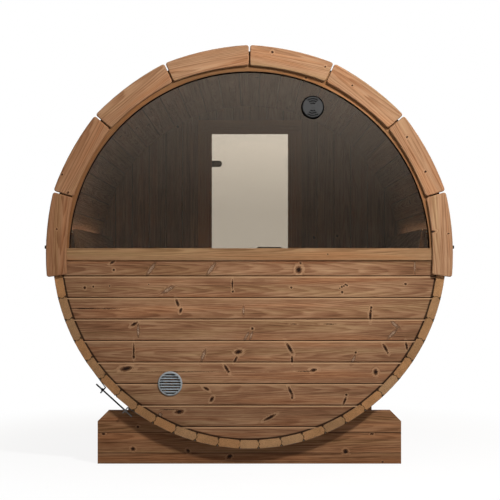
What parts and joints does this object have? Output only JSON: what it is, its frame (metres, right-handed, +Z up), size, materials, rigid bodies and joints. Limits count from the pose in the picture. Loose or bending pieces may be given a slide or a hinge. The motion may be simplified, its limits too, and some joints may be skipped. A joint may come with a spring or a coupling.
{
  "type": "barrel sauna",
  "caption": "Round stave-built sauna cabin on two cradles, with a tinted half-round window at one end and a hinged glass door in the boarded other end.",
  "frame": {"origin": "on the ground under the middle of the barrel, at the centre of the bounding box's bottom", "axes": "+Z up; Y along the barrel, with the window end towards -Y and the door end towards +Y; +X to the right when looking at the window end"},
  "size_m": [2.074, 1.8406, 2.1247],
  "materials": {
    "thermo_wood": "oiled heat-treated pine, satin",
    "thermo_wood_pale": "planed heat-treated wood, matt",
    "interior_wood": "smooth heat-treated wood, matt",
    "framing_wood": "planed heat-treated timber, matt",
    "roofing": "black mineral-faced bitumen, matt",
    "black_sheet": "black coated sheet, satin",
    "tinted_glass": "bronze tinted safety glass, polished",
    "seal": "black sealing strip, matt",
    "vent_plastic": "dark grey moulded plastic, matt",
    "vent_metal": "grey anodised aluminium, satin",
    "hinge_metal": "dark coated metal, satin",
    "light_cover": "white diffuser, matt",
    "band_steel": "stainless steel, brushed"
  },
  "bodies": {
    "cabin": {"staves_bottom": "thermo_wood", "staves_lower_right": "thermo_wood", "staves_right": "thermo_wood", "staves_upper_right": "thermo_wood", "staves_top": "thermo_wood", "staves_upper_left": "thermo_wood", "staves_left": "thermo_wood", "staves_lower_left": "thermo_wood", "rear_fascia_right": "thermo_wood", "rear_fascia_left": "thermo_wood", "front_fascia_right": "thermo_wood", "front_fascia_left": "thermo_wood", "rear_wall_boards": "thermo_wood", "front_wall_left": "thermo_wood", "front_wall_right": "thermo_wood", "front_wall_over_door": "thermo_wood", "front_wall_under_door": "thermo_wood", "rear_cradle": "thermo_wood", "front_cradle": "thermo_wood", "rear_sill": "thermo_wood_pale", "rear_glass_frame": "thermo_wood_pale", "door_frame": "thermo_wood_pale", "door_casing": "thermo_wood_pale", "floor_slats": "interior_wood", "bench_seat_left": "interior_wood", "bench_seat_right": "interior_wood", "backrest_left": "interior_wood", "backrest_right": "interior_wood", "floor_joists": "framing_wood", "bench_supports": "framing_wood", "roof_underlay": "roofing", "roof_shingles_right": "roofing", "roof_shingles_left": "roofing", "roof_ridge": "roofing", "eaves_flashing": "black_sheet", "rear_glass": "tinted_glass", "glass_seal": "seal", "glass_vent": "vent_plastic", "wall_vent": "vent_metal", "door_hinge_plates": "hinge_metal", "light_strips": "light_cover", "rear_band": "band_steel", "front_band": "band_steel"},
    "door": {"door_glass": "tinted_glass", "door_hinge_clips": "hinge_metal", "door_handles": "hinge_metal"}
  },
  "joints": [
    {"name": "door_hinge", "type": "hinge", "parent": "cabin", "child": "door", "pos_m": [-0.274, 0.881, 1.081], "axis": [0, 0, 1], "range_deg": [0, 110]}
  ]
}
